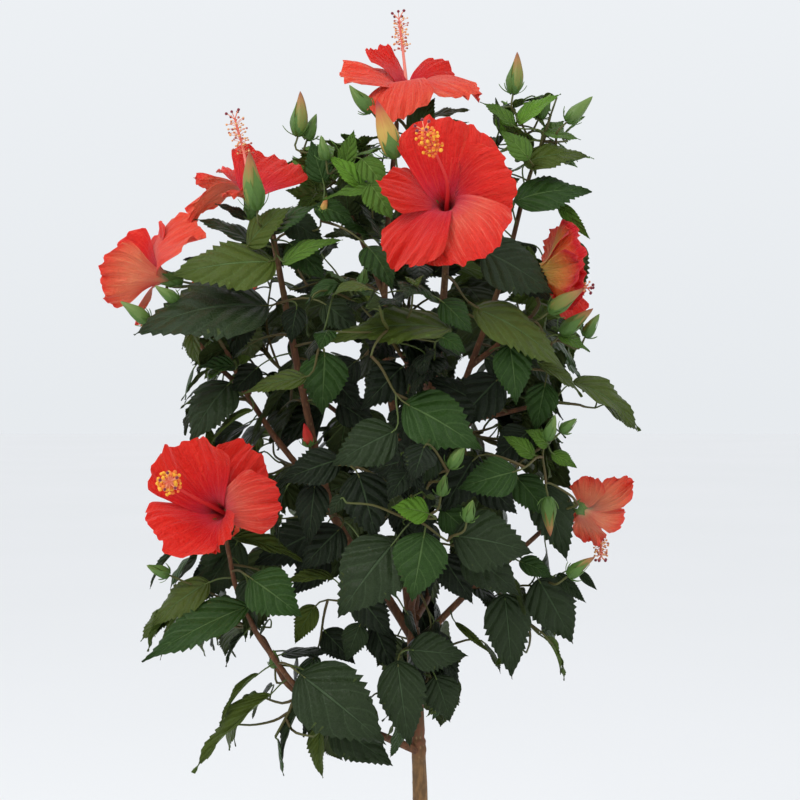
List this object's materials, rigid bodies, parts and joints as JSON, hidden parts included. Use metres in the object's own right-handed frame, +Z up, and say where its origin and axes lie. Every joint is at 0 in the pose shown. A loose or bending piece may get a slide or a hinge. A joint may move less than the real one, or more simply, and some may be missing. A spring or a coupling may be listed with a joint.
{
  "type": "hibiscus shrub",
  "caption": "Shrub grown as a small standard: a straight bare stem, slender boughs and masses of leaves with large red flowers.",
  "frame": {"origin": "on the ground at the middle of the flat cut under the stem", "axes": "+Z up along the stem, +X to the right of the side that faces the viewer, -Y towards the viewer"},
  "size_m": [0.541, 0.422, 1.218],
  "materials": {
    "stem_bark": "dry tan-brown bark with lenticels and leaf scars",
    "bough_bark": "smooth young red-brown bark",
    "shoot": "green to red-brown twigs and leaf stalks",
    "leaf": "glossy dark green leaf with paler veins",
    "young_leaf": "fresh light green leaf, bud and calyx",
    "petal": "vermilion petal with a crimson throat and fine radial veins",
    "stamen": "coral column and filaments",
    "anther": "yellow-orange pollen",
    "stigma": "dark red velvet"
  },
  "bodies": {
    "root": {"back_bough": "bough_bark", "back_left_bough": "bough_bark", "back_left_mass": "leaf", "back_right_bough": "bough_bark", "back_right_mass": "leaf", "back_waist_bough": "bough_bark", "bloom_bough": "bough_bark", "foot_back_mass": "leaf", "foot_front_mass": "leaf", "foot_left_mass": "leaf", "front_bloom_mass": "leaf", "front_waist_bough": "bough_bark", "heart_back_mass": "leaf", "heart_front_bough": "bough_bark", "heart_front_mass": "leaf", "leader": "bough_bark", "left_bloom_bough": "bough_bark", "left_bloom_mass": "leaf", "left_bough": "bough_bark", "left_middle_mass": "leaf", "left_shoulder_mass": "leaf", "left_side_bough": "bough_bark", "lower_left_bloom_mass": "leaf", "lower_left_bough": "bough_bark", "lower_left_mass": "leaf", "lower_right_mass": "leaf", "right_bloom_mass": "leaf", "right_low_bough": "bough_bark", "right_middle_bough": "bough_bark", "right_middle_mass": "leaf", "right_shoulder_mass": "leaf", "right_side_bough": "bough_bark", "right_top_bough": "bough_bark", "stem": "stem_bark", "top_bloom_mass": "leaf", "top_bough": "bough_bark", "top_right_shoot_mass": "leaf", "upper_left_bloom_mass": "leaf", "upper_middle_bough": "bough_bark", "upper_middle_mass": "leaf", "waist_back_mass": "leaf", "waist_front_mass": "leaf", "waist_left_mass": "leaf", "waist_right_mass": "leaf"}
  },
  "joints": []
}
